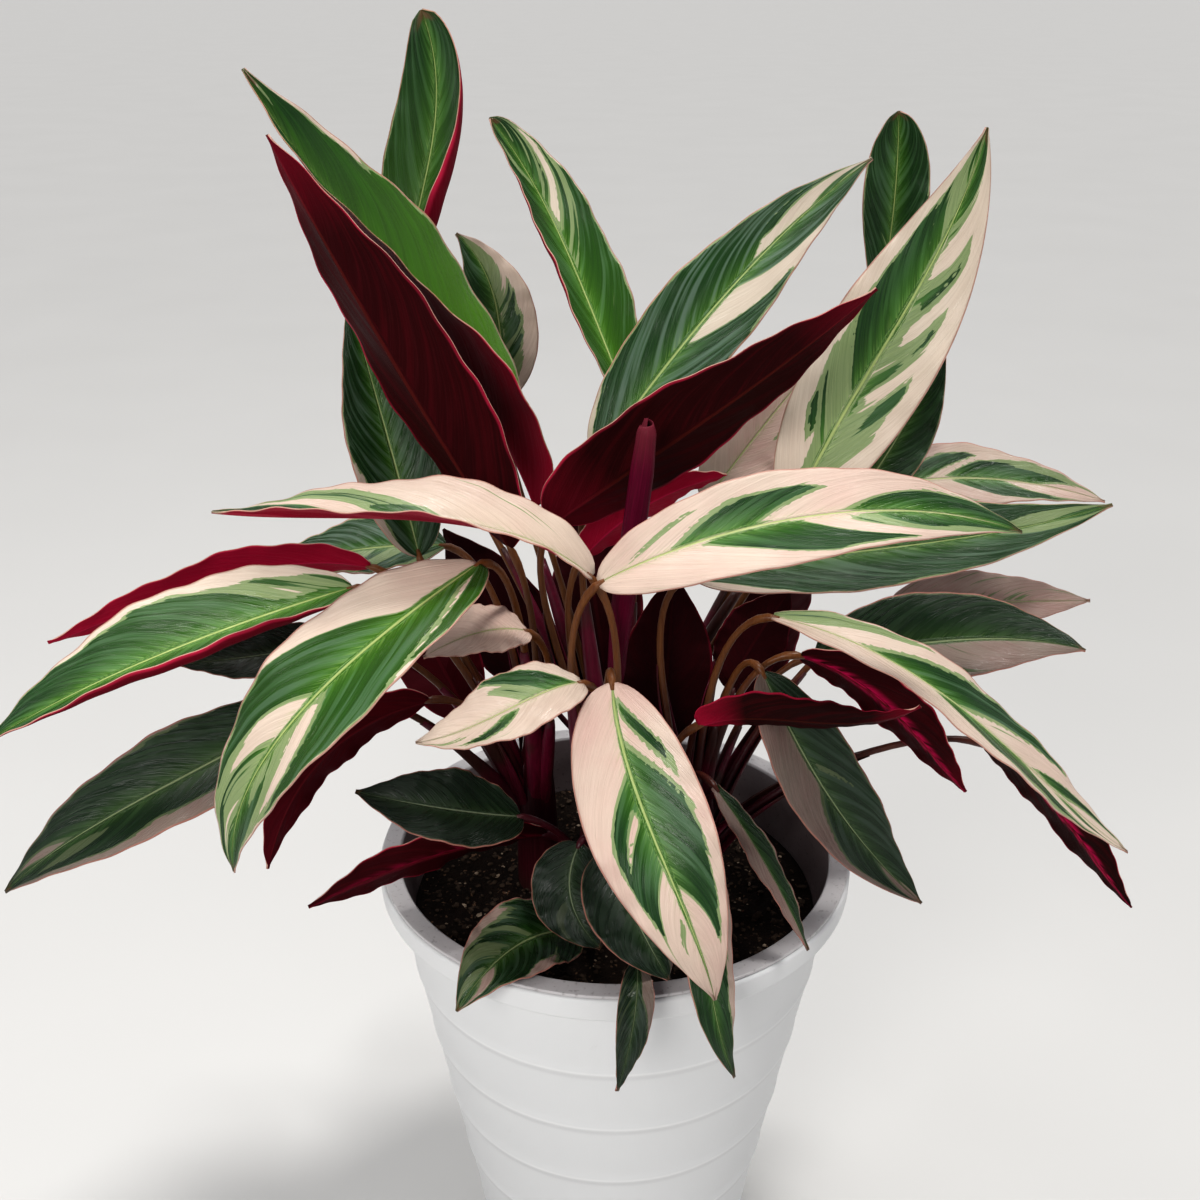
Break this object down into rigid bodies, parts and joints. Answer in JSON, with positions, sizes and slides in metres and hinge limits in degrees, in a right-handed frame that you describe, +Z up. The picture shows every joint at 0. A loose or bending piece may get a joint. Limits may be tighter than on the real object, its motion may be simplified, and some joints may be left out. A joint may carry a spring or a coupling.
{
  "type": "potted stromanthe",
  "caption": "Leafy potted prayer plant with long green, cream and pink leaves and maroon undersides, in a tapered white planter with a grey inner pot.",
  "frame": {"origin": "middle of the planter's flat base, on the surface that it stands on", "axes": "+Z up, -Y towards the side that the picture shows, +X to that side's right"},
  "size_m": [0.6765, 0.4592, 0.8324],
  "materials": {
    "planter": "matte white with soft rings",
    "liner": "silver-grey satin plastic, dusty inside",
    "soil": "damp, near-black potting mix with pale flecks",
    "green_leaf": "satin green leaf with cream and pink streaks, maroon below",
    "maroon_leaf": "satin maroon to crimson underside of a leaf",
    "stalk": "satin red-brown stalk with magenta sheaths",
    "rolled_leaf": "glossy magenta rolled leaf"
  },
  "bodies": {
    "root": {"planter": "planter", "liner": "liner", "soil": "soil", "shoot_left": "stalk", "shoot_front": "stalk", "shoot_centre": "stalk", "shoot_right": "stalk", "shoot_back": "stalk", "spear": "rolled_leaf", "tall_back_left": "green_leaf", "arching_upper_left": "green_leaf", "maroon_upper_left": "maroon_leaf", "pale_behind_left": "green_leaf", "upright_centre": "green_leaf", "upright_right": "green_leaf", "upright_behind_right": "green_leaf", "big_cream_right": "green_leaf", "maroon_right": "maroon_leaf", "crimson_centre": "maroon_leaf", "left_upright": "green_leaf", "long_left_cream": "green_leaf", "long_right": "green_leaf", "under_right": "green_leaf", "pink_behind_right": "green_leaf", "dark_behind_right": "green_leaf", "folded_right": "green_leaf", "tan_right": "green_leaf", "long_drooping_right": "green_leaf", "magenta_low_right": "maroon_leaf", "magenta_droop_right": "maroon_leaf", "rolled_burgundy": "maroon_leaf", "drooping_pink_right": "green_leaf", "small_cream_centre": "green_leaf", "centre_front": "green_leaf", "dark_low_a": "green_leaf", "dark_low_b": "green_leaf", "lower_left_rim": "green_leaf", "maroon_low_left": "maroon_leaf", "dark_left": "green_leaf", "big_front_left": "green_leaf", "long_left": "green_leaf", "red_band_left": "maroon_leaf", "grey_behind_left": "green_leaf", "left_lower": "green_leaf", "dark_under_left": "green_leaf", "maroon_behind_front": "maroon_leaf", "small_cream_left": "green_leaf", "narrow_over_rim": "green_leaf", "green_over_rim": "green_leaf", "narrow_right": "green_leaf", "dark_inside_right": "green_leaf", "pale_pink": "green_leaf", "inner_magenta": "maroon_leaf", "inner_brown": "maroon_leaf", "back_left": "green_leaf", "back_high": "green_leaf", "back_right": "green_leaf", "back_low_left": "green_leaf", "back_low": "green_leaf", "back_low_right": "green_leaf"}
  },
  "joints": []
}
